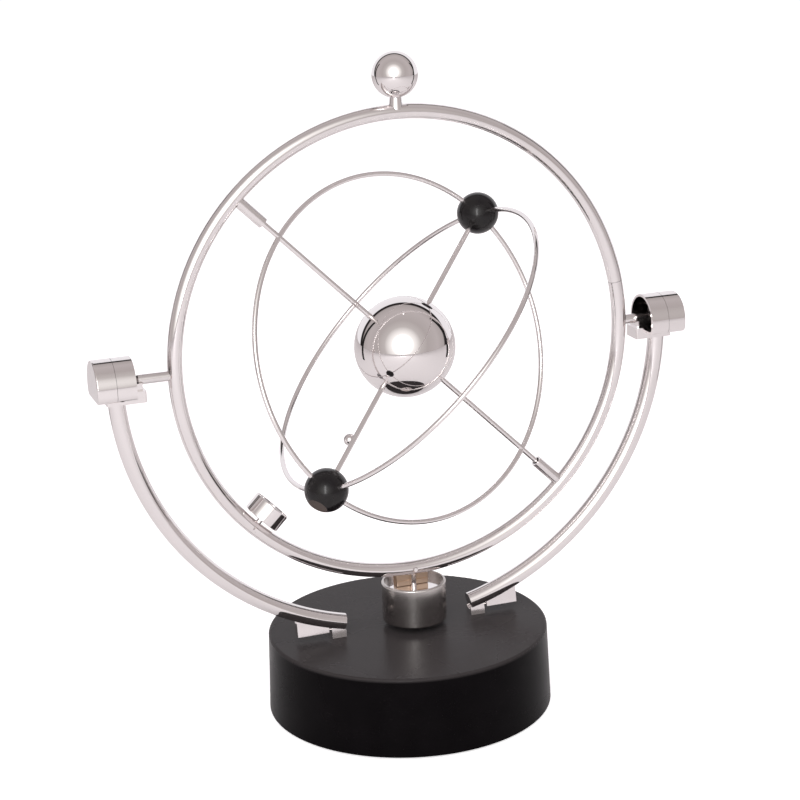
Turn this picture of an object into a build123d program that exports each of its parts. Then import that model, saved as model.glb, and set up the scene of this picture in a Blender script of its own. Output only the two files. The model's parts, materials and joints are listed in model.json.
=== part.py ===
from build123d import *
import math
import os

# Magnetic orbital desk mobile, millimetres, +Z up.
# The origin is the middle of the footprint, on the surface that the rubber feet stand on.
# The ring hangs in the XZ plane, and swings about an X axle between two curved arms.
# Inside the ring, a wire orbit with three balls spins about an axle that lies at 45 degrees.

# Base
FOOT_HEIGHT = 0.8
FOOT_RADIUS = 5.0
FOOT_SINK = 0.7
FOOT_PLACE = 44.0
BASE_RADIUS = 60.0
BASE_TOP_RADIUS = 58.9
BASE_HEIGHT = 33.3
BASE_TOP = FOOT_HEIGHT + BASE_HEIGHT
BASE_WALL = 2.4
BASE_EDGE = 1.2
FLOOR_THICK = 2.0
FLOOR_RADIUS = 57.2
BOSS_RADIUS = 4.0
BOSS_PLACE = 51.0
BASE_SCREW_RADIUS = 1.5

# Battery bay
CELL_RADIUS = 7.25
CELL_LENGTH = 50.5
CELL_PITCH = 15.2
CELL_COUNT = 4
CELL_Z = FOOT_HEIGHT + FLOOR_THICK + 0.3 + CELL_RADIUS
BAY_X = 62.4
BAY_Y = 53.4
BAY_WALL = 1.5
BAY_HEIGHT = 15.6
DOOR_GAP = 0.4
DOOR_THICK = 1.6
DOOR_LIFT = 0.2

# Electromagnet and its board
CORE_RADIUS = 3.9
SPOOL_RADIUS = 15.0
SPOOL_TUBE = 5.0
SPOOL_FLANGE = 1.0
SPOOL_HEIGHT = 11.6
FIT = 0.04
BOARD_X = 42.0
BOARD_SIZE = (16.0, 34.0, 1.6)
BOARD_Z = 21.0

# Arms, each a quarter turn of tube that ends over the base
ARM_RADIUS = 117.0
ARM_Z = 153.4
ARM_TUBE = 3.5
ARM_BORE = 2.7
ARM_END_X = 28.0
ARM_TOP_Z = 150.6
FOOT_BLOCK_END_X = 34.2
FOOT_WEDGE_X = (35.4, 49.0)
FOOT_WEDGE_LIFT = 2.8
FOOT_HALF_WIDTH = 3.0
FOOT_DRAFT_ANGLE = 10.0
FOOT_SADDLE = 2.3
FOOT_LINK_RADIUS = 0.4
FOOT_TOP = 13.0
ARM_SCREW_X = 31.1
ARM_SCREW_RADIUS = 1.4
ARM_SCREW_DEPTH = 1.8

# Bearing caps on the arm tops, each a pair of arched half shells round a seat
CAP_INNER_X = 110.2
CAP_SEAM_X = 118.0
CAP_OUTER_X = 125.8
CAP_BOTTOM = 149.0
CAP_WIDTH = 21.0
CAP_HEIGHT = 15.8
CAP_WALL = 1.0
CAP_TUCK = 3.0
CAP_EDGE = 0.5
CAP_SEAM = 0.12
SEAT_X = (105.5, 121.5)
SEAT_HALF_WIDTH = 5.0
SEAT_Z = (146.8, 151.5)
SADDLE_X = (106.6, 121.5)
SADDLE_HALF_WIDTH = 3.4
SADDLE_TOP = 154.2
SEAT_EDGE = 0.7

# Swinging ring, which rests a little to one side within the play of its stubs in their seats
PIVOT_Z = 155.0
RING_SHIFT = 3.4
RING_RADIUS = 96.1
RING_TUBE = 3.0
RING_BORE = 2.2
RING_SEAM_ANGLE = 10.3
RING_SEAM = 0.12
STUB_RADIUS = 2.0
STUB_FIT = 0.06
STUB_CONE = 2.6
STUB_REACH = 113.8
TOP_BALL_RADIUS = 9.2
STEM_HEIGHT = 2.4
STEM_RADII = (3.0, 2.4)

# Magnet drum under the ring
DRUM_RADIUS = 13.6
DRUM_HEIGHT = 16.8
DRUM_WALL = 1.0
DRUM_DROP = 2.6
DRUM_RECESS = 2.8
DRUM_TOP = PIVOT_Z - RING_RADIUS - RING_TUBE - DRUM_DROP
DRUM_MAGNET = 8.0
POST_RADIUS = 1.2
PIN_RADIUS = 0.7
PIN_HEAD = 1.1
BAR_SIZE = (14.0, 4.6, 5.0)
BAR_EDGE = 0.35

# Small magnet cup on the inside of the ring
CUP_ANGLE = 225.0
CUP_RADIUS = 8.0
CUP_HEIGHT = 7.6
CUP_WALL = 0.8
CUP_GAP = 1.5
CUP_MAGNET = 5.0

# Spin axle of the orbit, and its sleeves
SPIN_ANGLE = -45.0
AXLE_RADIUS = 1.1
AXLE_CONE = 2.6
SLEEVE_RADIUS = 2.35
SLEEVE_BORE = 1.6
SLEEVE_LENGTH = 12.5

# Wire orbit
LEAN_ANGLE = 25.8
LOOP_RADIUS = 71.7
WIRE_RADIUS = 1.05
WIRE_STOP = 3.0
CENTRE_BALL_RADIUS = 20.75
CENTRE_BALL_WALL = 1.5
HUB_RADIUS = 5.0
HUB_LENGTH = 14.0
BLACK_BALL_RADIUS = 8.8
MAGNET_RADIUS = 4.2
MAGNET_START = 3.2
PLUG_THICK = 1.0
BALANCE_RADIUS = 2.5
BALANCE_PLACE = 46.7

# Directions of the orbit at rest. The ring and the orbit are made about X = 0, and shifted when written.
SPIN = Vector(math.cos(math.radians(SPIN_ANGLE)), 0, math.sin(math.radians(SPIN_ANGLE)))
SIDE = Vector(-SPIN.Z, 0, SPIN.X)
REACH = SIDE * math.cos(math.radians(LEAN_ANGLE)) + Vector(0, math.sin(math.radians(LEAN_ANGLE)), 0)
CROSS = SPIN.cross(REACH)
CENTRE = Vector(0, 0, PIVOT_Z)

RING_PLANE = Plane(origin=(0, 0, PIVOT_Z), x_dir=(1, 0, 0), z_dir=(0, -1, 0))
ARM_PLANE = Plane(origin=(0, 0, ARM_Z), x_dir=(1, 0, 0), z_dir=(0, -1, 0))
LOOP_PLANES = {
    "spin": Plane(origin=CENTRE, x_dir=REACH, z_dir=REACH.cross(SPIN)),
    "cross": Plane(origin=CENTRE, x_dir=REACH, z_dir=REACH.cross(CROSS)),
}


def rod(start, end, radius):
    """Round bar from one point to another."""
    run = Vector(end) - Vector(start)
    return Solid.make_cylinder(radius, run.length, Plane(origin=start, z_dir=run))


def cone(start, end, radius_start, radius_end):
    """Round taper from one point to another."""
    run = Vector(end) - Vector(start)
    return Solid.make_cone(radius_start, radius_end, run.length, Plane(origin=start, z_dir=run))


def disc(radius, bottom, top, x=0.0, y=0.0):
    """Upright cylinder between two heights."""
    return rod((x, y, bottom), (x, y, top), radius)


def ball(centre, radius):
    """Sphere at a point."""
    return Solid.make_sphere(radius, Plane(origin=centre))


def block(low, high):
    """Box between two corners."""
    size = [b - a for a, b in zip(low, high)]
    middle = [(a + b) / 2 for a, b in zip(low, high)]
    return Pos(*middle) * Box(*size)


def bent_tube(plane, bend, outer, start, end, inner=0.0):
    """Tube or wire bent round the plane's origin, between two angles in degrees."""
    profile = Circle(outer)
    if inner:
        profile = profile - Circle(inner)
    place = plane.location * Rot(0, 0, start) * Pos(bend, 0, 0) * Rot(90, 0, 0)
    return revolve(place * profile, Axis(plane.origin, plane.z_dir), end - start)


def group(solids):
    """Several separate solids in one node."""
    return Compound(children=list(solids))


def left_and_right(shape):
    """The shape and its mirror image across the YZ plane."""
    return [shape, mirror(shape, about=Plane.YZ)]


# ---------------------------------------------------------------- base

def corners(distance, count=4, first=45.0):
    """Places evenly spaced on a circle."""
    angles = [math.radians(first + i * 360.0 / count) for i in range(count)]
    return [(distance * math.cos(a), distance * math.sin(a)) for a in angles]


def base_shell():
    """Round black shell, open underneath, with screw bosses and holes for the arms' screws."""
    outside = Solid.make_cone(BASE_RADIUS, BASE_TOP_RADIUS, BASE_HEIGHT, Plane((0, 0, FOOT_HEIGHT)))
    outside = fillet(outside.edges().sort_by(Axis.Z)[-1], BASE_EDGE)
    inner_height = BASE_HEIGHT - BASE_WALL
    inside = Solid.make_cone(
        BASE_RADIUS - BASE_WALL, BASE_TOP_RADIUS - BASE_WALL, inner_height, Plane((0, 0, FOOT_HEIGHT))
    )
    shell = outside - inside
    boss_bottom = FOOT_HEIGHT + FLOOR_THICK + FIT
    for x, y in corners(BOSS_PLACE):
        shell += disc(BOSS_RADIUS, boss_bottom, BASE_TOP - BASE_WALL / 2, x, y)
    for x, y in corners(BOSS_PLACE):
        shell -= disc(BASE_SCREW_RADIUS - 0.3, boss_bottom - 1, BASE_TOP - 2 * BASE_WALL, x, y)
    for x in (-ARM_SCREW_X, ARM_SCREW_X):
        shell -= disc(ARM_SCREW_RADIUS + FIT, BASE_TOP - 2 * BASE_WALL, BASE_TOP + 1, x)
    return shell


def base_floor():
    """Bottom plate with the battery bay's walls, foot recesses, hinge slots and board posts."""
    top = FOOT_HEIGHT + FLOOR_THICK
    plate = disc(FLOOR_RADIUS, FOOT_HEIGHT, top)
    half_x = BAY_X / 2
    half_y = BAY_Y / 2
    plate += block(
        (-half_x - BAY_WALL, -half_y - BAY_WALL, FOOT_HEIGHT),
        (half_x + BAY_WALL, half_y + BAY_WALL, top + BAY_HEIGHT),
    )
    plate -= block((-half_x, -half_y, 0), (half_x, half_y, top + BAY_HEIGHT + 1))
    for y in (-11.0, 11.0):
        plate += disc(2.5, FOOT_HEIGHT, BOARD_Z, BOARD_X, y)
    for x, y in corners(BOSS_PLACE):
        plate -= disc(BASE_SCREW_RADIUS + 0.2, 0, top + 1, x, y)
        plate -= disc(3.0, 0, FOOT_HEIGHT + 0.8, x, y)
    for x, y in corners(FOOT_PLACE, first=0.0):
        plate -= disc(FOOT_RADIUS + FIT, 0, FOOT_HEIGHT + FOOT_SINK, x, y)
    return plate


def rubber_feet():
    """Four round pads set into the floor."""
    return group(disc(FOOT_RADIUS, 0, FOOT_HEIGHT + FOOT_SINK, x, y) for x, y in corners(FOOT_PLACE, first=0.0))


def base_screws():
    """Four countersunk screws that hold the floor to the shell's bosses."""
    screws = []
    for x, y in corners(BOSS_PLACE):
        head = disc(2.8, FOOT_HEIGHT + 0.2, FOOT_HEIGHT + 0.76, x, y)
        shank = disc(BASE_SCREW_RADIUS - 0.34, FOOT_HEIGHT + 0.7, FOOT_HEIGHT + 14, x, y)
        slot = block((x - 2.0, y - 0.3, 0), (x + 2.0, y + 0.3, FOOT_HEIGHT + 0.5))
        cross_slot = block((x - 0.3, y - 2.0, 0), (x + 0.3, y + 2.0, FOOT_HEIGHT + 0.5))
        screws.append(head + shank - slot - cross_slot)
    return group(screws)


def battery_door():
    """Door in the floor: a plate with two hinge tongues on one edge and a latch on the other."""
    half_x = BAY_X / 2 - DOOR_GAP
    half_y = BAY_Y / 2 - DOOR_GAP
    low = FOOT_HEIGHT + DOOR_LIFT
    plate = block((-half_x, -half_y, low), (half_x, half_y, low + DOOR_THICK))
    for i in range(5):
        y = -half_y + 4.0 + 1.6 * i
        plate -= block((-8, y, 0), (8, y + 0.8, low + 0.5))
    return plate


def batteries():
    """Four penlight cells side by side, ends turned in pairs."""
    cells = []
    for i in range(CELL_COUNT):
        x = (i - (CELL_COUNT - 1) / 2) * CELL_PITCH
        way = 1 if i % 2 else -1
        can_end = way * (CELL_LENGTH / 2 - 1.2)
        can = rod((x, -way * CELL_LENGTH / 2, CELL_Z), (x, can_end, CELL_Z), CELL_RADIUS - 0.1)
        button = rod((x, can_end, CELL_Z), (x, way * CELL_LENGTH / 2, CELL_Z), 2.7)
        cells.append(can + button)
    return group(cells)


def battery_contacts():
    """Thin spring plates at both ends of each cell."""
    plates = []
    for i in range(CELL_COUNT):
        x = (i - (CELL_COUNT - 1) / 2) * CELL_PITCH
        for way in (-1, 1):
            y = way * (BAY_Y / 2 - 0.5)
            plates.append(block((x - 4, y - 0.4, CELL_Z - 4), (x + 4, y + 0.4, CELL_Z + 4)))
    return group(plates)


def coil_spool():
    """Spool that carries the electromagnet's winding under the middle of the top."""
    top = BASE_TOP - BASE_WALL - FIT
    bottom = top - SPOOL_HEIGHT
    spool = disc(SPOOL_TUBE, bottom, top)
    spool += disc(SPOOL_RADIUS, bottom, bottom + SPOOL_FLANGE)
    spool += disc(SPOOL_RADIUS, top - SPOOL_FLANGE, top)
    return spool - disc(CORE_RADIUS + FIT, bottom - 1, top + 1)


def coil_winding():
    """Copper winding on the spool."""
    top = BASE_TOP - BASE_WALL - FIT - SPOOL_FLANGE - FIT
    bottom = top - SPOOL_HEIGHT + 2 * SPOOL_FLANGE + 2 * FIT
    return disc(SPOOL_RADIUS - 1.2, bottom, top) - disc(SPOOL_TUBE + FIT, bottom - 1, top + 1)


def coil_core():
    """Soft iron core of the electromagnet."""
    top = BASE_TOP - BASE_WALL - FIT
    return disc(CORE_RADIUS, top - SPOOL_HEIGHT, top)


def circuit_board():
    """Driver board on two posts beside the coil."""
    length_x, length_y, thick = BOARD_SIZE
    return block(
        (BOARD_X - length_x / 2, -length_y / 2, BOARD_Z + FIT),
        (BOARD_X + length_x / 2, length_y / 2, BOARD_Z + thick),
    )


def board_parts():
    """Capacitor, transistor and a resistor on the board."""
    top = BOARD_Z + BOARD_SIZE[2] + FIT
    capacitor = disc(3.2, top, top + 6.5, BOARD_X, 10.5)
    transistor = block((BOARD_X - 2.4, -12.5, top), (BOARD_X + 2.4, -8.9, top + 5.0))
    resistor = rod((BOARD_X - 3.2, 0, top + 1.3), (BOARD_X + 3.2, 0, top + 1.3), 1.2)
    return group([capacitor, transistor, resistor])


# ---------------------------------------------------------------- arms and bearings

def arm_right():
    """Curved tube from over the base up to the right bearing."""
    low_angle = -math.degrees(math.acos(ARM_END_X / ARM_RADIUS))
    high_angle = math.degrees(math.asin((ARM_TOP_Z - ARM_Z) / ARM_RADIUS))
    return bent_tube(ARM_PLANE, ARM_RADIUS, ARM_TUBE, low_angle, high_angle, ARM_BORE)


def arm_end_plugs():
    """Polished plugs that close the lower ends of the arm tubes."""
    low_angle = -math.degrees(math.acos(ARM_END_X / ARM_RADIUS))
    reach = math.degrees(4.0 / ARM_RADIUS)
    plug = bent_tube(ARM_PLANE, ARM_RADIUS, ARM_BORE - FIT, low_angle, low_angle + reach)
    return group(left_and_right(plug))


def drafted(x_start, x_end, bottom):
    """Bar along X that narrows towards the top, from a height above the base up into the tube."""
    draft = math.tan(math.radians(FOOT_DRAFT_ANGLE))
    low = FOOT_HALF_WIDTH - draft * bottom
    high = FOOT_HALF_WIDTH - draft * FOOT_TOP
    plane = Plane(origin=(x_start, 0, BASE_TOP), x_dir=(0, 1, 0), z_dir=(1, 0, 0))
    outline = Polyline((-low, bottom), (low, bottom), (high, FOOT_TOP), (-high, FOOT_TOP), close=True)
    return extrude(plane * make_face(outline), x_end - x_start)


def arm_foot_right():
    """Foot under the tube: a block that stands on the base, and a wedge held clear of it outside."""
    body = drafted(ARM_END_X, FOOT_BLOCK_END_X, FIT)
    body += drafted(FOOT_WEDGE_X[0], FOOT_WEDGE_X[1], FOOT_WEDGE_LIFT)
    body -= rod((0, -10, ARM_Z), (0, 10, ARM_Z), ARM_RADIUS + FOOT_SADDLE)
    low_angle = -math.degrees(math.acos(ARM_END_X / ARM_RADIUS))
    body -= bent_tube(ARM_PLANE, ARM_RADIUS, ARM_TUBE + FIT, low_angle - 5, low_angle + 20)
    link_z = BASE_TOP + FOOT_WEDGE_LIFT + FOOT_LINK_RADIUS
    body += rod((FOOT_BLOCK_END_X - 0.5, 0, link_z), (FOOT_WEDGE_X[0] + 0.5, 0, link_z), FOOT_LINK_RADIUS)
    return body - disc(ARM_SCREW_RADIUS + FIT, BASE_TOP - 1, BASE_TOP + ARM_SCREW_DEPTH + 0.1, ARM_SCREW_X)


def arm_screws():
    """Two screws, driven up from inside the base into the arms' feet."""
    under = BASE_TOP - BASE_WALL - FIT
    head = disc(2.8, under - 1.8, under, ARM_SCREW_X)
    shank = disc(ARM_SCREW_RADIUS, under - 1, BASE_TOP + ARM_SCREW_DEPTH, ARM_SCREW_X)
    return group(left_and_right(head + shank))


def arch(x_start, x_end, width, height, bottom, tuck):
    """Solid between two places along X: an arch over straight sides, rounded at the lower edges."""
    half = width / 2
    spring = height - half
    low = (1 - math.sqrt(0.5)) * tuck
    plane = Plane(origin=(x_start, 0, bottom), x_dir=(0, 1, 0), z_dir=(1, 0, 0))
    outline = Line((-half, spring), (-half, tuck))
    outline += ThreePointArc((-half, tuck), (-half + low, low), (-half + tuck, 0))
    outline += Line((-half + tuck, 0), (half - tuck, 0))
    outline += ThreePointArc((half - tuck, 0), (half - low, low), (half, tuck))
    outline += Line((half, tuck), (half, spring))
    outline += ThreePointArc((half, spring), (0, height), (-half, spring))
    return extrude(plane * make_face(outline), x_end - x_start)


def arm_socket():
    """Space round the top of the right arm's tube."""
    high_angle = math.degrees(math.asin((ARM_TOP_Z + FIT - ARM_Z) / ARM_RADIUS))
    return bent_tube(ARM_PLANE, ARM_RADIUS, ARM_TUBE + FIT, high_angle - 6, high_angle)


def cap_space():
    """What has to be left free inside a bearing cap's floor: the seat and the arm tube."""
    grow = CAP_SEAM / 2
    seat = block(
        (SEAT_X[0] - grow, -SEAT_HALF_WIDTH - grow, SEAT_Z[0] - grow),
        (SEAT_X[1] + grow, SEAT_HALF_WIDTH + grow, SEAT_Z[1]),
    )
    return seat + arm_socket()


def cap_inside(x_start, x_end):
    """Space inside the bearing cap, between two places along X."""
    return arch(
        x_start, x_end, CAP_WIDTH - 2 * CAP_WALL, CAP_HEIGHT - 2 * CAP_WALL, CAP_BOTTOM + CAP_WALL,
        CAP_TUCK - CAP_WALL,
    )


def cap_right_inner():
    """Half shell on the ring's side, open towards the ring."""
    outside = arch(CAP_INNER_X, CAP_SEAM_X - CAP_SEAM / 2, CAP_WIDTH, CAP_HEIGHT, CAP_BOTTOM, CAP_TUCK)
    return outside - cap_inside(CAP_INNER_X - 1, CAP_SEAM_X + 1) - cap_space()


def cap_right_outer():
    """Half shell with the closed end."""
    outside = arch(CAP_SEAM_X + CAP_SEAM / 2, CAP_OUTER_X, CAP_WIDTH, CAP_HEIGHT, CAP_BOTTOM, CAP_TUCK)
    outside = fillet(outside.faces().sort_by(Axis.X)[-1].edges(), CAP_EDGE)
    return outside - cap_inside(CAP_SEAM_X - 1, CAP_OUTER_X - CAP_WALL) - cap_space()


def bearing_seat_right():
    """Seat on top of the arm tube: a wide tab, and a saddle with the groove that the stub turns in."""
    seat = block(
        (SEAT_X[0], -SEAT_HALF_WIDTH, SEAT_Z[0]),
        (SEAT_X[1], SEAT_HALF_WIDTH, SEAT_Z[1]),
    )
    seat = fillet(seat.edges().filter_by(Axis.Z), SEAT_EDGE)
    seat += block(
        (SADDLE_X[0], -SADDLE_HALF_WIDTH, SEAT_Z[1] - 1),
        (SADDLE_X[1], SADDLE_HALF_WIDTH, SADDLE_TOP),
    )
    seat -= rod((SEAT_X[0] - 1, 0, PIVOT_Z), (SEAT_X[1] + 1, 0, PIVOT_Z), STUB_RADIUS + STUB_FIT)
    return seat - arm_socket()


# ---------------------------------------------------------------- swinging ring

def on_ring(angle, distance):
    """Point in the ring's plane, at an angle from +X towards +Z and a distance from the pivot."""
    turn = math.radians(angle)
    return Vector(distance * math.cos(turn), 0, PIVOT_Z + distance * math.sin(turn))


def swing_ring():
    """Tube ring, butted at one seam, drilled for the drum's post, the cup's post and their pins."""
    gap = math.degrees(RING_SEAM / RING_RADIUS)
    start = RING_SEAM_ANGLE + gap
    end = RING_SEAM_ANGLE + 360
    ring = bent_tube(RING_PLANE, RING_RADIUS, RING_TUBE, start, end, RING_BORE)
    for angle in (270.0, CUP_ANGLE):
        inner = on_ring(angle, RING_RADIUS - RING_TUBE - 1)
        outer = on_ring(angle, RING_RADIUS + RING_TUBE + 1)
        middle = on_ring(angle, RING_RADIUS)
        ring -= rod(middle, outer if angle == 270.0 else inner, POST_RADIUS + FIT)
        ring -= rod(middle - Vector(0, 5, 0), middle + Vector(0, 5, 0), PIN_RADIUS + FIT)
    return ring


def ring_joint_pin():
    """Curved pin inside the tube, bridging the ring's seam."""
    reach = math.degrees(8.0 / RING_RADIUS)
    return bent_tube(RING_PLANE, RING_RADIUS, RING_BORE - FIT, RING_SEAM_ANGLE - reach, RING_SEAM_ANGLE + reach)


def ring_skin(grow):
    """Full ring of the tube's outside, for cutting saddles."""
    return Solid.make_torus(RING_RADIUS, RING_TUBE + grow, RING_PLANE)


def stub_right():
    """Axle stub brazed to the ring, with a pointed end."""
    shoulder = (STUB_REACH - STUB_CONE, 0, PIVOT_Z)
    stub = rod((RING_RADIUS + 1, 0, PIVOT_Z), shoulder, STUB_RADIUS)
    stub += cone(shoulder, (STUB_REACH, 0, PIVOT_Z), STUB_RADIUS, 0.25)
    return stub - ring_skin(FIT)


def top_ball_height():
    """Height of the top ball's centre."""
    return PIVOT_Z + RING_RADIUS + RING_TUBE + STEM_HEIGHT + TOP_BALL_RADIUS


def top_ball():
    """Chromed ball on the ring's crown."""
    height = top_ball_height()
    return ball((0, 0, height), TOP_BALL_RADIUS) - disc(1.5, height - 12, height - 4)


def top_ball_stem():
    """Collar between ring and ball, with a pin up into the ball."""
    base = PIVOT_Z + RING_RADIUS + 1
    top = PIVOT_Z + RING_RADIUS + RING_TUBE + STEM_HEIGHT + 0.5
    stem = cone((0, 0, base), (0, 0, top), STEM_RADII[0], STEM_RADII[1])
    stem -= ball((0, 0, top_ball_height()), TOP_BALL_RADIUS + FIT)
    stem += disc(1.5 - FIT, base, top + 4)
    return stem - ring_skin(FIT)


def drum_cup():
    """Chromed cup that holds the swing magnet, with a raised, rounded rim."""
    cup = disc(DRUM_RADIUS, DRUM_TOP - DRUM_HEIGHT, DRUM_TOP)
    cup = fillet(cup.edges().filter_by(GeomType.CIRCLE), 0.6)
    return cup - disc(DRUM_RADIUS - DRUM_WALL, DRUM_TOP - DRUM_HEIGHT + DRUM_WALL, DRUM_TOP + 1)


def drum_lid():
    """Polished disc set below the drum's rim."""
    top = DRUM_TOP - DRUM_RECESS
    lid = disc(DRUM_RADIUS - DRUM_WALL - FIT, top - 1.0, top)
    return lid - disc(POST_RADIUS + FIT, top - 2, top + 1)


def drum_magnet():
    """Disc magnet in the bottom of the drum."""
    bottom = DRUM_TOP - DRUM_HEIGHT + DRUM_WALL + FIT
    return disc(DRUM_RADIUS - DRUM_WALL - 0.2, bottom, bottom + DRUM_MAGNET)


def drum_post():
    """Post from inside the drum up into the ring."""
    bottom = DRUM_TOP - DRUM_HEIGHT + DRUM_WALL + DRUM_MAGNET + 2 * FIT
    post = disc(POST_RADIUS, bottom, PIVOT_Z - RING_RADIUS + 1.2)
    post += disc(3.5, bottom, bottom + 1.2)
    return post - rod((0, -5, PIVOT_Z - RING_RADIUS), (0, 5, PIVOT_Z - RING_RADIUS), PIN_RADIUS + FIT)


def pin_through_ring(angle):
    """Cross pin with a round head on each side of the ring."""
    middle = on_ring(angle, RING_RADIUS)
    out = RING_TUBE + 0.05
    pin = rod(middle - Vector(0, out + 0.5, 0), middle + Vector(0, out + 0.5, 0), PIN_RADIUS)
    for way in (-1, 1):
        start = middle + Vector(0, way * out, 0)
        pin += cone(start, start + Vector(0, way * 0.6, 0), PIN_HEAD, PIN_HEAD * 0.7)
    return pin


def drum_pin():
    """Pin that holds the drum's post in the ring."""
    return pin_through_ring(270.0)


def drum_bar():
    """Short crossbar behind the drum's post, on the lid."""
    low = (-BAR_SIZE[0] / 2, POST_RADIUS + 0.1, DRUM_TOP - DRUM_RECESS + FIT)
    high = [a + b for a, b in zip(low, BAR_SIZE)]
    bar = block(low, high)
    bar = fillet(bar.edges(), BAR_EDGE)
    return bar - block((-10, POST_RADIUS - 1, low[2] + 2.3), (10, POST_RADIUS + 0.45, low[2] + 2.7))


def magnet_cup():
    """Small cup on the inside of the ring, open towards the orbit."""
    near = RING_RADIUS - RING_TUBE - CUP_GAP
    cup = rod(on_ring(CUP_ANGLE, near), on_ring(CUP_ANGLE, near - CUP_HEIGHT), CUP_RADIUS)
    cup = fillet(cup.edges().filter_by(GeomType.CIRCLE), 0.5)
    floor = on_ring(CUP_ANGLE, near - CUP_WALL)
    mouth = on_ring(CUP_ANGLE, near - CUP_HEIGHT - 1)
    hollow = rod(floor, mouth, CUP_RADIUS - CUP_WALL)
    hole = rod(on_ring(CUP_ANGLE, near + 1), on_ring(CUP_ANGLE, near - 2), POST_RADIUS + FIT)
    return cup - hollow - hole


def cup_magnet():
    """Disc magnet in the small cup."""
    near = RING_RADIUS - RING_TUBE - CUP_GAP - CUP_WALL - 1.0
    start = on_ring(CUP_ANGLE, near)
    return rod(start, on_ring(CUP_ANGLE, near - CUP_MAGNET), CUP_RADIUS - CUP_WALL - 0.1)


def cup_post():
    """Short post that carries the small cup on the ring."""
    near = RING_RADIUS - RING_TUBE - CUP_GAP - CUP_WALL
    post = rod(on_ring(CUP_ANGLE, RING_RADIUS + 1.2), on_ring(CUP_ANGLE, near - 0.9), POST_RADIUS)
    post += rod(on_ring(CUP_ANGLE, near - FIT), on_ring(CUP_ANGLE, near - 0.9), 2.6)
    middle = on_ring(CUP_ANGLE, RING_RADIUS)
    return post - rod(middle - Vector(0, 5, 0), middle + Vector(0, 5, 0), PIN_RADIUS + FIT)


def cup_pin():
    """Pin that holds the small cup's post in the ring."""
    return pin_through_ring(CUP_ANGLE)


def sleeve(angle):
    """Open sleeve on the inside of the ring, in which one end of the spin axle turns."""
    inner = RING_RADIUS - RING_TUBE - SLEEVE_LENGTH
    tube = rod(on_ring(angle, inner), on_ring(angle, RING_RADIUS - 1), SLEEVE_RADIUS)
    tube -= rod(on_ring(angle, inner - 1), on_ring(angle, RING_RADIUS), SLEEVE_BORE)
    return tube - ring_skin(FIT)


def sleeve_lower():
    """Sleeve at the lower right of the ring."""
    return sleeve(SPIN_ANGLE)


def sleeve_upper():
    """Sleeve at the upper left of the ring."""
    return sleeve(SPIN_ANGLE + 180)


# ---------------------------------------------------------------- orbit

def spin_axle():
    """Straight axle through the centre ball, pointed at both ends."""
    half = RING_RADIUS - RING_TUBE - 0.25
    axle = rod(CENTRE - SPIN * (half - AXLE_CONE), CENTRE + SPIN * (half - AXLE_CONE), AXLE_RADIUS)
    for way in (-1, 1):
        start = CENTRE + SPIN * (way * (half - AXLE_CONE))
        axle += cone(start, CENTRE + SPIN * (way * half), AXLE_RADIUS, 0.2)
    return axle


def centre_ball():
    """Hollow chromed ball in the middle, drilled for the axle and the cross wires."""
    shell = ball(CENTRE, CENTRE_BALL_RADIUS) - ball(CENTRE, CENTRE_BALL_RADIUS - CENTRE_BALL_WALL)
    for direction, radius in ((SPIN, AXLE_RADIUS), (REACH, WIRE_RADIUS)):
        shell -= rod(CENTRE - direction * 30, CENTRE + direction * 30, radius + FIT)
    return shell


def centre_hub():
    """Hub inside the centre ball that grips the axle and both cross wires."""
    hub = rod(CENTRE - SPIN * (HUB_LENGTH / 2), CENTRE + SPIN * (HUB_LENGTH / 2), HUB_RADIUS)
    hub -= rod(CENTRE - SPIN * 30, CENTRE + SPIN * 30, AXLE_RADIUS + FIT)
    return hub - rod(CENTRE - REACH * 30, CENTRE + REACH * 30, WIRE_RADIUS + FIT)


def cross_wire(way):
    """Wire from the hub to one black ball."""
    return rod(CENTRE + REACH * (way * 1.8), CENTRE + REACH * (way * (LOOP_RADIUS - 1.6)), WIRE_RADIUS)


def loop_arc(plane_name, first):
    """Half a hoop of wire, from one black ball to the other."""
    stop = math.degrees(WIRE_STOP / LOOP_RADIUS)
    return bent_tube(LOOP_PLANES[plane_name], LOOP_RADIUS, WIRE_RADIUS, first + stop, first + 180 - stop)


def black_ball(way):
    """Black ball with channels for the wires and a pocket for its magnet, made facing +Z and then placed."""
    turned = Plane(origin=(0, 0, 0), x_dir=(1, 1, 0), z_dir=(0, 0, 1))
    body = Solid.make_sphere(BLACK_BALL_RADIUS, turned)
    body -= disc(MAGNET_RADIUS, MAGNET_START, BLACK_BALL_RADIUS + 1)
    body -= Solid.make_sphere(WIRE_STOP - 0.5, turned)
    body -= disc(WIRE_RADIUS + FIT, -BLACK_BALL_RADIUS - 1, -1.5)
    for side in ((0, 1, 0), (0, -1, 0), (1, 0, 0), (-1, 0, 0)):
        hoop = Plane(origin=(0, 0, -LOOP_RADIUS), x_dir=(0, 0, 1), z_dir=side)
        body -= bent_tube(hoop, LOOP_RADIUS, WIRE_RADIUS + FIT, 1.5, 10)
    place = Plane(origin=CENTRE + REACH * (way * LOOP_RADIUS), x_dir=SPIN, z_dir=REACH * way)
    return place.location * body


def plug_face():
    """Distance from a black ball's centre to the flat face of its plug."""
    return math.sqrt(BLACK_BALL_RADIUS ** 2 - MAGNET_RADIUS ** 2)


def ball_magnet(way):
    """Disc magnet inside a black ball."""
    middle = CENTRE + REACH * (way * LOOP_RADIUS)
    out = REACH * way
    end = plug_face() - PLUG_THICK - FIT
    return rod(middle + out * (MAGNET_START + FIT), middle + out * end, MAGNET_RADIUS - FIT)


def ball_plug(way):
    """Flat plug that closes a black ball's magnet pocket."""
    middle = CENTRE + REACH * (way * LOOP_RADIUS)
    out = REACH * way
    return rod(middle + out * (plug_face() - PLUG_THICK), middle + out * plug_face(), MAGNET_RADIUS - FIT)


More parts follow.
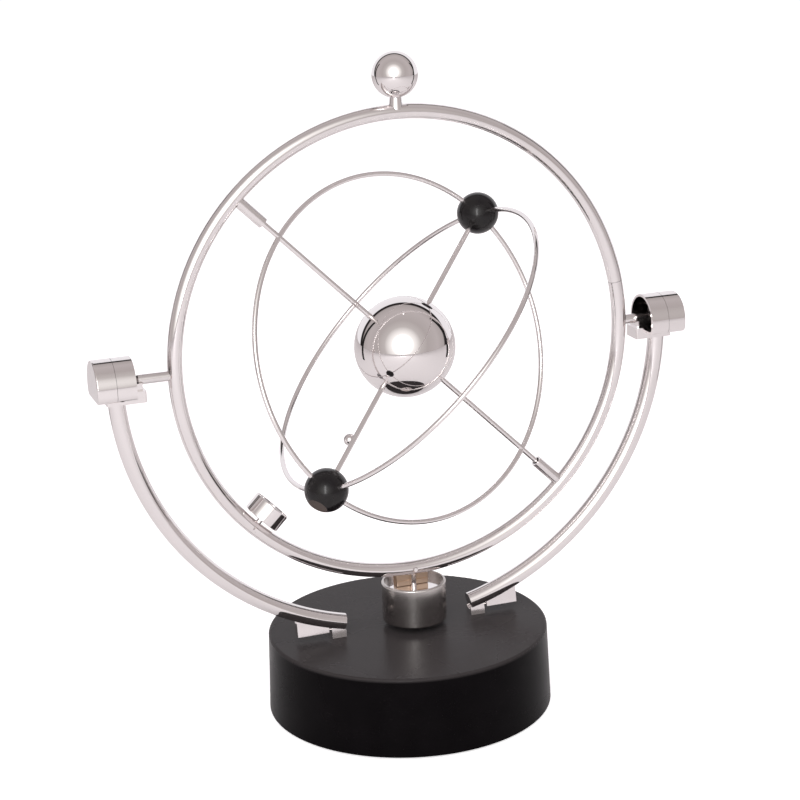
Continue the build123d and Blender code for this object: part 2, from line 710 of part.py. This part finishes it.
def balance_ball():
    """Small chromed ball on the lower cross wire, which keeps the orbit a little out of balance."""
    centre = CENTRE - REACH * BALANCE_PLACE - CROSS * (BALANCE_RADIUS + WIRE_RADIUS - 0.15)
    wire = rod(CENTRE - REACH * 30, CENTRE - REACH * 60, WIRE_RADIUS + 0.02)
    return ball(centre, BALANCE_RADIUS) - wire


STAND_NODES = {
    "base_shell": base_shell(),
    "base_floor": base_floor(),
    "rubber_feet": rubber_feet(),
    "base_screws": base_screws(),
    "battery_door": battery_door(),
    "batteries": batteries(),
    "battery_contacts": battery_contacts(),
    "coil_spool": coil_spool(),
    "coil_winding": coil_winding(),
    "coil_core": coil_core(),
    "circuit_board": circuit_board(),
    "board_parts": board_parts(),
    "arm_end_plugs": arm_end_plugs(),
    "arm_screws": arm_screws(),
}

STAND_RIGHT_SIDE = {
    "arm": arm_right(),
    "arm_foot": arm_foot_right(),
    "cap_inner": cap_right_inner(),
    "cap_outer": cap_right_outer(),
    "bearing_seat": bearing_seat_right(),
}
for name, shape in STAND_RIGHT_SIDE.items():
    STAND_NODES[name + "_right"] = shape
    STAND_NODES[name + "_left"] = mirror(shape, about=Plane.YZ)

MOVING_NODES = {
    "swing_ring": swing_ring(),
    "ring_joint_pin": ring_joint_pin(),
    "axle_stub_right": stub_right(),
    "axle_stub_left": mirror(stub_right(), about=Plane.YZ),
    "top_ball": top_ball(),
    "top_ball_stem": top_ball_stem(),
    "drum_cup": drum_cup(),
    "drum_lid": drum_lid(),
    "drum_magnet": drum_magnet(),
    "drum_post": drum_post(),
    "drum_pin": drum_pin(),
    "drum_bar": drum_bar(),
    "magnet_cup": magnet_cup(),
    "cup_magnet": cup_magnet(),
    "cup_post": cup_post(),
    "cup_pin": cup_pin(),
    "sleeve_upper": sleeve_upper(),
    "sleeve_lower": sleeve_lower(),
    "spin_axle": spin_axle(),
    "centre_ball": centre_ball(),
    "centre_hub": centre_hub(),
    "balance_ball": balance_ball(),
}

for end, way in (("upper", 1), ("lower", -1)):
    MOVING_NODES["cross_wire_" + end] = cross_wire(way)
    MOVING_NODES["black_ball_" + end] = black_ball(way)
    MOVING_NODES["ball_magnet_" + end] = ball_magnet(way)
    MOVING_NODES["ball_plug_" + end] = ball_plug(way)

for plane_name in LOOP_PLANES:
    for number, first in ((1, 0), (2, 180)):
        MOVING_NODES[f"hoop_{plane_name}_{number}"] = loop_arc(plane_name, first)

os.makedirs("parts", exist_ok=True)
for name, shape in STAND_NODES.items():
    export_step(shape, f"parts/{name}.step")
for name, shape in MOVING_NODES.items():
    export_step(Pos(RING_SHIFT, 0, 0) * shape, f"parts/{name}.step")
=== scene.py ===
import bpy
import json
import math
from mathutils import Matrix, Vector

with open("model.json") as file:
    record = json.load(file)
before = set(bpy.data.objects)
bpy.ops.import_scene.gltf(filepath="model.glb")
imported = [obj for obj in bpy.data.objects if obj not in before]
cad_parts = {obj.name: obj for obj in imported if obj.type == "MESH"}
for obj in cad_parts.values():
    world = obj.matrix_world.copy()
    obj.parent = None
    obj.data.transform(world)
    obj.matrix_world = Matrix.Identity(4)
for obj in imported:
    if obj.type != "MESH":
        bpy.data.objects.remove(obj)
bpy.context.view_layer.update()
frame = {"nodes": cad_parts, "record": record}
NODES = frame["nodes"]
SLOT_OF = {part["node"]: part["material_slot"] for part in frame["record"]["subparts"]}

# ---------------------------------------------------------------- camera and stage
CAMERA_AZIMUTH = math.radians(-18.91)
CAMERA_ELEVATION = math.radians(15.99)
CAMERA_DISTANCE = 0.8422
CAMERA_ROLL = math.radians(-2.19)
CAMERA_AIM = Vector((0.00046, 0.0, 0.13267))
CAMERA_FOCAL = 92.2
SENSOR = 36.0
FLOOR_RADIUS = 2.5
FLOOR_COLOUR = (0.80, 0.785, 0.80)
FLOOR_GLOW = 0.6
FLAG_PLACE = 0.40
FLAG_DEPTHS = (0.11, 0.165)
FLAG_HEIGHT = 0.55
WHITE = (1.0, 1.0, 1.0)
BACKDROP_STRENGTH = 1.05
FLOOR_SIDES = 96

# The lights aim at a point this high. Each soft one has a name, azimuth, elevation, distance, size and power.
LIGHT_AIM = Vector((0.0, 0.0, 0.15))
SOFT_LIGHTS = (
    ("overhead", 10.0, 80.0, 1.4, 1.2, 7.0),
    ("key", -40.0, 35.0, 1.3, 0.8, 3.0),
)
STRIP_DISTANCE = 1.4
STRIP_WIDTH = 0.16
STRIP_HEIGHT = 1.0
STRIP_POWER = 4.0

# The room that reflections see: the direction of its middle in degrees, then each colour and the angle in
# degrees from that middle at which it is seen, from the backdrop to the front light.
ROOM_AZIMUTH = -24.0
ROOM_ELEVATION = 18.0
ROOM = (
    (180.0, (0.98, 0.96, 0.99)),
    (117.0, (0.96, 0.94, 0.97)),
    (115.0, (0.02, 0.018, 0.018)),
    (108.0, (0.03, 0.025, 0.025)),
    (105.0, (0.46, 0.42, 0.415)),
    (85.0, (0.56, 0.51, 0.51)),
    (58.0, (0.50, 0.455, 0.45)),
    (42.0, (0.60, 0.56, 0.55)),
    (26.0, (1.15, 1.12, 1.1)),
    (12.0, (2.2, 2.15, 2.1)),
    (0.0, (2.4, 2.35, 2.3)),
)


def direction(azimuth, elevation):
    """Unit vector from the object towards a viewer."""
    return Vector((
        math.sin(azimuth) * math.cos(elevation),
        -math.cos(azimuth) * math.cos(elevation),
        math.sin(elevation),
    ))


def link(thing):
    bpy.context.scene.collection.objects.link(thing)
    return thing


def make_camera():
    data = bpy.data.cameras.new("view")
    data.sensor_width = SENSOR
    data.lens = CAMERA_FOCAL
    data.clip_start = 0.01
    data.clip_end = 50.0
    camera = link(bpy.data.objects.new("view", data))
    back = direction(CAMERA_AZIMUTH, CAMERA_ELEVATION)
    turn = back.to_track_quat("Z", "Y").to_matrix().to_4x4()
    place = Matrix.Translation(CAMERA_AIM + back * CAMERA_DISTANCE)
    camera.matrix_world = place @ turn @ Matrix.Rotation(CAMERA_ROLL, 4, "Z")
    bpy.context.scene.camera = camera


# ---------------------------------------------------------------- node helpers
def rgba(colour):
    return (colour[0], colour[1], colour[2], 1.0)


class Surface:
    """A Principled material, and short calls that put procedural detail on it."""

    def __init__(self, name, colour, roughness, metallic=0.0):
        self.material = bpy.data.materials.new(name)
        self.material.use_nodes = True
        self.tree = self.material.node_tree
        self.shader = self.tree.nodes["Principled BSDF"]
        self.set("Base Color", rgba(colour))
        self.set("Roughness", roughness)
        self.set("Metallic", metallic)
        self.place = self.add("ShaderNodeTexCoord").outputs["Object"]
        self.normal = None

    def set(self, socket, value):
        self.shader.inputs[socket].default_value = value

    def add(self, kind, **settings):
        node = self.tree.nodes.new(kind)
        for key, value in settings.items():
            setattr(node, key, value)
        return node

    def join(self, output, socket):
        self.tree.links.new(output, socket)

    def stretched(self, stretch):
        """Object coordinates scaled by a different factor along each axis."""
        mapping = self.add("ShaderNodeMapping")
        mapping.inputs["Scale"].default_value = stretch
        self.join(self.place, mapping.inputs["Vector"])
        return mapping.outputs["Vector"]

    def noise(self, scale, detail=3.0, roughness=0.55, stretch=(1, 1, 1), distortion=0.0):
        node = self.add("ShaderNodeTexNoise")
        node.inputs["Scale"].default_value = scale
        node.inputs["Detail"].default_value = detail
        node.inputs["Roughness"].default_value = roughness
        node.inputs["Distortion"].default_value = distortion
        self.join(self.stretched(stretch), node.inputs["Vector"])
        return node.outputs["Fac"]

    def scratches(self, scale, stretch=(1, 1, 1)):
        """Thin wandering lines, 1 on a line and 0 off it."""
        cells = self.add("ShaderNodeTexVoronoi", feature="DISTANCE_TO_EDGE")
        cells.inputs["Scale"].default_value = scale
        self.join(self.stretched(stretch), cells.inputs["Vector"])
        return self.ranged(cells.outputs["Distance"], 0.0, 0.012, 1.0, 0.0)

    def ranged(self, value, low, high, to_low, to_high):
        node = self.add("ShaderNodeMapRange")
        node.inputs["From Min"].default_value = low
        node.inputs["From Max"].default_value = high
        node.inputs["To Min"].default_value = to_low
        node.inputs["To Max"].default_value = to_high
        self.join(value, node.inputs["Value"])
        return node.outputs["Result"]

    def vary_roughness(self, value, low, high):
        self.join(self.ranged(value, 0.3, 0.7, low, high), self.shader.inputs["Roughness"])

    def vary_colour(self, value, first, second, low=0.35, high=0.65):
        mix = self.add("ShaderNodeMix", data_type="RGBA")
        mix.inputs[6].default_value = rgba(first)
        mix.inputs[7].default_value = rgba(second)
        self.join(self.ranged(value, low, high, 0.0, 1.0), mix.inputs[0])
        self.join(mix.outputs[2], self.shader.inputs["Base Color"])

    def bump(self, height, distance, strength=1.0):
        """Adds one layer of relief; distance is its height in metres."""
        node = self.add("ShaderNodeBump")
        node.inputs["Strength"].default_value = strength
        node.inputs["Distance"].default_value = distance
        self.join(height, node.inputs["Height"])
        if self.normal:
            self.join(self.normal, node.inputs["Normal"])
        self.normal = node.outputs["Normal"]
        self.join(self.normal, self.shader.inputs["Normal"])


# ---------------------------------------------------------------- materials
CHROME = (0.86, 0.825, 0.82)
BLACK_PLASTIC = (0.0045, 0.0036, 0.0042)
SIDE_BLACK = (0.0016, 0.0011, 0.0015)
# Painted sheen: the top face's lighter black stands in for the reflection the satin top shows; the side's
# black is the plastic's own colour.
PAINTED_SHEEN_TOP = (0.036, 0.032, 0.033)
PAINTED_SHEEN_BAND = (0.95, 0.985)     # share of the base shell's height where the side's black becomes the top's painted sheen


def chrome(name, low=0.03, high=0.075, colour=CHROME, wobble=2.0e-6):
    """Polished plating: a faint waviness, wiping smears and a few hairlines."""
    made = Surface(name, colour, low, metallic=1.0)
    made.vary_roughness(made.noise(55.0, detail=4.0, distortion=0.6), low, high)
    made.vary_colour(made.noise(24.0), colour, tuple(0.96 * c for c in colour))
    made.bump(made.noise(120.0, detail=1.0), wobble, 0.5)
    made.bump(made.scratches(140.0, stretch=(1, 1, 0.25)), 1.2e-6, 0.25)
    return made.material


def satin_metal(name, colour, low, high, stretch=(1, 1, 1), grain=900.0):
    """Plated or turned metal with a fine directional grain."""
    made = Surface(name, colour, low, metallic=1.0)
    lines = made.noise(grain, detail=2.0, stretch=stretch)
    made.vary_roughness(made.noise(60.0, detail=4.0), low, high)
    made.vary_colour(made.noise(35.0, detail=5.0), colour, tuple(0.88 * c for c in colour))
    made.bump(lines, 4.0e-6, 0.35)
    return made.material


def brushed(name, colour, roughness, anisotropy):
    """Metal turned on a lathe: fine rings round the upright axis draw the light into upright bands."""
    made = Surface(name, colour, roughness, metallic=1.0)
    made.set("Anisotropic", anisotropy)
    tangent = made.add("ShaderNodeTangent", direction_type="RADIAL", axis="Z")
    made.join(tangent.outputs["Tangent"], made.shader.inputs["Tangent"])
    made.vary_roughness(made.noise(40.0, detail=3.0), roughness - 0.04, roughness + 0.04)
    made.vary_colour(made.noise(30.0, stretch=(1, 1, 12)), colour, tuple(0.93 * c for c in colour))
    made.bump(made.noise(160.0, detail=1.0, stretch=(0.3, 0.3, 14)), 3.0e-7, 0.3)
    return made.material


def moulded_surface(name, colour, low, high, grain=1800.0, depth=9.0e-6):
    """Moulded plastic: fine spark texture, gloss that drifts, and a little handling wear."""
    made = Surface(name, colour, low)
    made.set("Specular IOR Level", 0.25)
    made.vary_roughness(made.noise(28.0, detail=5.0, distortion=0.8), low, high)
    made.vary_colour(made.noise(90.0, detail=6.0), colour, tuple(1.3 * c + 0.0005 for c in colour))
    made.bump(made.noise(grain, detail=2.0, roughness=0.6), depth, 0.6)
    made.bump(made.scratches(45.0, stretch=(1, 0.3, 1)), 3.0e-6, 0.2)
    return made


def moulded(*look, **relief):
    return moulded_surface(*look, **relief).material


def base_plastic():
    """The base's side is nearly black, its own colour; its top face gets a lighter black, a painted sheen
    standing in for the reflection off the satin top.
    """
    made = moulded_surface("base_satin_black", SIDE_BLACK, 0.24, 0.31)
    made.set("Specular IOR Level", 0.05)
    # Painted sheen: near the top of the shell the side's black blends into the lighter painted-sheen black.
    height = made.add("ShaderNodeSeparateXYZ")
    made.join(made.add("ShaderNodeTexCoord").outputs["Generated"], height.inputs["Vector"])
    mix = made.add("ShaderNodeMix", data_type="RGBA")
    made.join(made.shader.inputs["Base Color"].links[0].from_socket, mix.inputs[6])
    mix.inputs[7].default_value = rgba(PAINTED_SHEEN_TOP)
    made.join(made.ranged(height.outputs["Z"], *PAINTED_SHEEN_BAND, 0.0, 1.0), mix.inputs[0])
    made.join(mix.outputs[2], made.shader.inputs["Base Color"])
    return made.material


def winding():
    """Enamelled wire laid in turns one above the other."""
    made = Surface("copper_winding", (0.72, 0.32, 0.14), 0.25, metallic=1.0)
    turns = made.add("ShaderNodeTexWave", wave_type="BANDS", bands_direction="Z")
    turns.inputs["Scale"].default_value = 420.0
    turns.inputs["Distortion"].default_value = 0.4
    made.join(made.place, turns.inputs["Vector"])
    made.vary_colour(turns.outputs["Fac"], (0.42, 0.15, 0.06), (0.78, 0.38, 0.17), 0.1, 0.8)
    made.vary_roughness(made.noise(80.0), 0.22, 0.4)
    made.bump(turns.outputs["Fac"], 1.2e-4, 0.8)
    return made.material


def circuit_board():
    """Green solder mask over faint copper tracks."""
    made = Surface("board_mask", (0.02, 0.16, 0.06), 0.35)
    tracks = made.add("ShaderNodeTexBrick")
    tracks.inputs["Scale"].default_value = 220.0
    tracks.inputs["Mortar Size"].default_value = 0.06
    tracks.inputs["Color1"].default_value = (0, 0, 0, 1)
    tracks.inputs["Color2"].default_value = (0, 0, 0, 1)
    tracks.inputs["Mortar"].default_value = (1, 1, 1, 1)
    made.join(made.place, tracks.inputs["Vector"])
    made.vary_colour(tracks.outputs["Fac"], (0.02, 0.16, 0.06), (0.06, 0.30, 0.11), 0.0, 1.0)
    made.vary_roughness(made.noise(60.0), 0.3, 0.5)
    made.bump(tracks.outputs["Fac"], 3.0e-5, 0.7)
    return made.material


def cell_wrap():
    """Plain dark battery sleeve."""
    made = Surface("cell_wrap", (0.05, 0.05, 0.06), 0.3, metallic=0.6)
    made.vary_colour(made.noise(40.0, stretch=(0.2, 1, 0.2)), (0.04, 0.04, 0.05), (0.10, 0.10, 0.12))
    made.vary_roughness(made.noise(50.0), 0.22, 0.38)
    made.bump(made.noise(300.0), 6.0e-6, 0.4)
    return made.material


def black_ball():
    """Satin lacquer with a slight orange peel."""
    made = Surface("black_lacquer", (0.006, 0.005, 0.006), 0.26)
    made.set("Specular IOR Level", 0.32)
    made.vary_roughness(made.noise(70.0, detail=4.0), 0.15, 0.21)
    made.vary_colour(made.noise(140.0, detail=5.0), (0.005, 0.004, 0.005), (0.010, 0.009, 0.009))
    made.bump(made.noise(420.0, detail=2.0), 1.0e-5, 0.5)
    return made.material


MAKERS = {
    "base_plastic": base_plastic,
    "floor_plastic": lambda: moulded("floor_black", BLACK_PLASTIC, 0.45, 0.6),
    "door_plastic": lambda: moulded("door_black", BLACK_PLASTIC, 0.42, 0.58),
    "rubber": lambda: moulded("foot_rubber", (0.03, 0.03, 0.03), 0.75, 0.9, grain=2600.0, depth=2.0e-5),
    "screw_steel": lambda: satin_metal("screw_zinc", (0.55, 0.55, 0.57), 0.28, 0.42),
    "cell_wrap": cell_wrap,
    "spring_steel": lambda: satin_metal("contact_nickel", (0.70, 0.70, 0.72), 0.2, 0.35),
    "spool_plastic": lambda: moulded("spool_cream", (0.75, 0.72, 0.62), 0.4, 0.55),
    "copper": winding,
    "iron": lambda: satin_metal("core_iron", (0.28, 0.27, 0.27), 0.4, 0.6),
    "board": circuit_board,
    "board_part": lambda: moulded("part_black", (0.03, 0.03, 0.035), 0.3, 0.45),
    "tube_chrome": lambda: chrome("arm_chrome"),
    "foot_chrome": lambda: chrome("foot_chrome", 0.05, 0.12),
    "cap_chrome": lambda: chrome("cap_chrome", 0.05, 0.10),
    "seat_steel": lambda: chrome("seat_chrome", 0.06, 0.14),
    "ring_chrome": lambda: chrome("ring_chrome"),
    "stub_steel": lambda: satin_metal("stub_plate", CHROME, 0.14, 0.24, stretch=(0.1, 1, 1)),
    "ball_chrome": lambda: chrome("ball_chrome", 0.015, 0.045, wobble=6.0e-7),
    "collar_chrome": lambda: chrome("collar_chrome", 0.06, 0.12),
    "drum_chrome": lambda: brushed("drum_turned", (0.66, 0.63, 0.61), 0.22, 0.9),
    "magnet": lambda: satin_metal("magnet_nickel", (0.42, 0.42, 0.44), 0.2, 0.35),
    "post_steel": lambda: chrome("post_chrome", 0.06, 0.12),
    "bar_brass": lambda: satin_metal("bar_copper", (0.72, 0.55, 0.42), 0.3, 0.42, stretch=(0.1, 1, 1)),
    "cup_chrome": lambda: chrome("cup_chrome", 0.04, 0.09),
    "sleeve_steel": lambda: satin_metal("sleeve_plate", CHROME, 0.16, 0.26),
    "wire_chrome": lambda: chrome("wire_chrome", 0.05, 0.11),
    "hub_plastic": lambda: moulded("hub_white", (0.78, 0.78, 0.75), 0.4, 0.55),
    "black_ball": black_ball,
    "plug_brown": lambda: moulded("plug_brown", (0.050, 0.036, 0.030), 0.4, 0.55, grain=1200.0),
}


def finish_nodes():
    """Puts each slot's material on the CAD nodes that use it; the drum's lid is polished, its side turned."""
    made = {}
    for name, thing in NODES.items():
        slot = SLOT_OF[name]
        if slot not in made:
            made[slot] = MAKERS[slot]()
        for place in thing.material_slots:
            place.material = made[slot]
    for place in NODES["drum_lid"].material_slots:
        place.material = made["cap_chrome"]


# ---------------------------------------------------------------- floor, world and lights
def make_floor():
    """Pale round floor, level with the soles of the rubber feet; lit from within for the camera alone."""
    bpy.ops.mesh.primitive_circle_add(vertices=FLOOR_SIDES, radius=FLOOR_RADIUS, fill_type="NGON")
    floor = bpy.context.object
    floor.name = "studio_floor"
    paper = Surface("studio_paper", FLOOR_COLOUR, 0.8)
    paper.set("Specular IOR Level", 0.0)
    paper.vary_roughness(paper.noise(9.0), 0.75, 0.85)
    glow = paper.add("ShaderNodeEmission")
    path = paper.add("ShaderNodeLightPath")
    both = paper.add("ShaderNodeAddShader")
    strength = paper.ranged(path.outputs["Is Camera Ray"], 0.0, 1.0, 0.0, FLOOR_GLOW)
    paper.join(strength, glow.inputs["Strength"])
    paper.join(paper.shader.outputs["BSDF"], both.inputs[0])
    paper.join(glow.outputs["Emission"], both.inputs[1])
    paper.join(both.outputs["Shader"], paper.tree.nodes["Material Output"].inputs["Surface"])
    floor.data.materials.append(paper.material)


def make_flags():
    """Two black boards beside the object, behind its middle: only polished metal sees them, as dark lines."""
    back = direction(CAMERA_AZIMUTH, 0.0)
    side = Vector((-back.y, back.x, 0.0))
    board = Surface("flag_black", (0.01, 0.01, 0.01), 0.9)
    board.vary_roughness(board.noise(20.0), 0.85, 0.95)
    for way in (-1, 1):
        near, far = (side * (way * FLAG_PLACE) - back * depth for depth in FLAG_DEPTHS)
        up = Vector((0.0, 0.0, FLAG_HEIGHT))
        mesh = bpy.data.meshes.new("flag")
        mesh.from_pydata([near, far, far + up, near + up], [], [(0, 1, 2, 3)])
        mesh.materials.append(board.material)
        flag = link(bpy.data.objects.new(f"flag_{'right' if way > 0 else 'left'}", mesh))
        flag.visible_camera = False
        flag.visible_diffuse = False
        flag.visible_shadow = False


def make_world():
    """A white backdrop behind, a greyer room in front with one bright soft light, and a dark edge between."""
    world = bpy.data.worlds.new("studio")
    bpy.context.scene.world = world
    world.use_nodes = True
    tree = world.node_tree
    nodes = tree.nodes
    coordinates = nodes.new("ShaderNodeTexCoord")
    dot = nodes.new("ShaderNodeVectorMath")
    dot.operation = "DOT_PRODUCT"
    dot.inputs[1].default_value = direction(math.radians(ROOM_AZIMUTH), math.radians(ROOM_ELEVATION))
    tree.links.new(coordinates.outputs["Generated"], dot.inputs[0])
    across = nodes.new("ShaderNodeMapRange")
    across.inputs["From Min"].default_value = -1.0
    across.inputs["From Max"].default_value = 1.0
    tree.links.new(dot.outputs["Value"], across.inputs["Value"])
    ramp = nodes.new("ShaderNodeValToRGB")
    stops = ramp.color_ramp.elements
    while len(stops) > 1:
        stops.remove(stops[-1])
    for number, (angle, colour) in enumerate(ROOM):
        spot = (math.cos(math.radians(angle)) + 1.0) / 2.0
        stop = stops[0] if number == 0 else stops.new(spot)
        stop.position = spot
        stop.color = rgba(colour)
    tree.links.new(across.outputs["Result"], ramp.inputs["Fac"])
    seen = nodes["Background"]
    tree.links.new(ramp.outputs["Color"], seen.inputs["Color"])
    seen.inputs["Strength"].default_value = 1.0
    plain = nodes.new("ShaderNodeBackground")
    plain.inputs["Color"].default_value = rgba(WHITE)
    plain.inputs["Strength"].default_value = BACKDROP_STRENGTH
    path = nodes.new("ShaderNodeLightPath")
    choose = nodes.new("ShaderNodeMixShader")
    tree.links.new(path.outputs["Is Camera Ray"], choose.inputs["Fac"])
    tree.links.new(seen.outputs["Background"], choose.inputs[1])
    tree.links.new(plain.outputs["Background"], choose.inputs[2])
    tree.links.new(choose.outputs["Shader"], nodes["World Output"].inputs["Surface"])


def soft_light(name, azimuth, elevation, distance, size, power):
    data = bpy.data.lights.new(name, "AREA")
    data.shape = "DISK"
    data.size = size
    data.energy = power
    lamp = link(bpy.data.objects.new(name, data))
    back = direction(math.radians(azimuth), math.radians(elevation))
    turn = back.to_track_quat("Z", "Y").to_matrix().to_4x4()
    lamp.matrix_world = Matrix.Translation(LIGHT_AIM + back * distance) @ turn
    lamp.visible_glossy = False
    lamp.visible_camera = False
    return lamp


def strip_light():
    """A tall narrow box beside the camera: it draws the bright line down the drum and along the tubes."""
    lamp = soft_light("strip", ROOM_AZIMUTH, ROOM_ELEVATION, STRIP_DISTANCE, STRIP_WIDTH, STRIP_POWER)
    lamp.data.shape = "RECTANGLE"
    lamp.data.size_y = STRIP_HEIGHT
    lamp.visible_glossy = True


def make_lights():
    for settings in SOFT_LIGHTS:
        soft_light(*settings)
    strip_light()


make_camera()
make_floor()
make_flags()
make_world()
make_lights()
finish_nodes()
bpy.context.scene.view_settings.view_transform = "Standard"
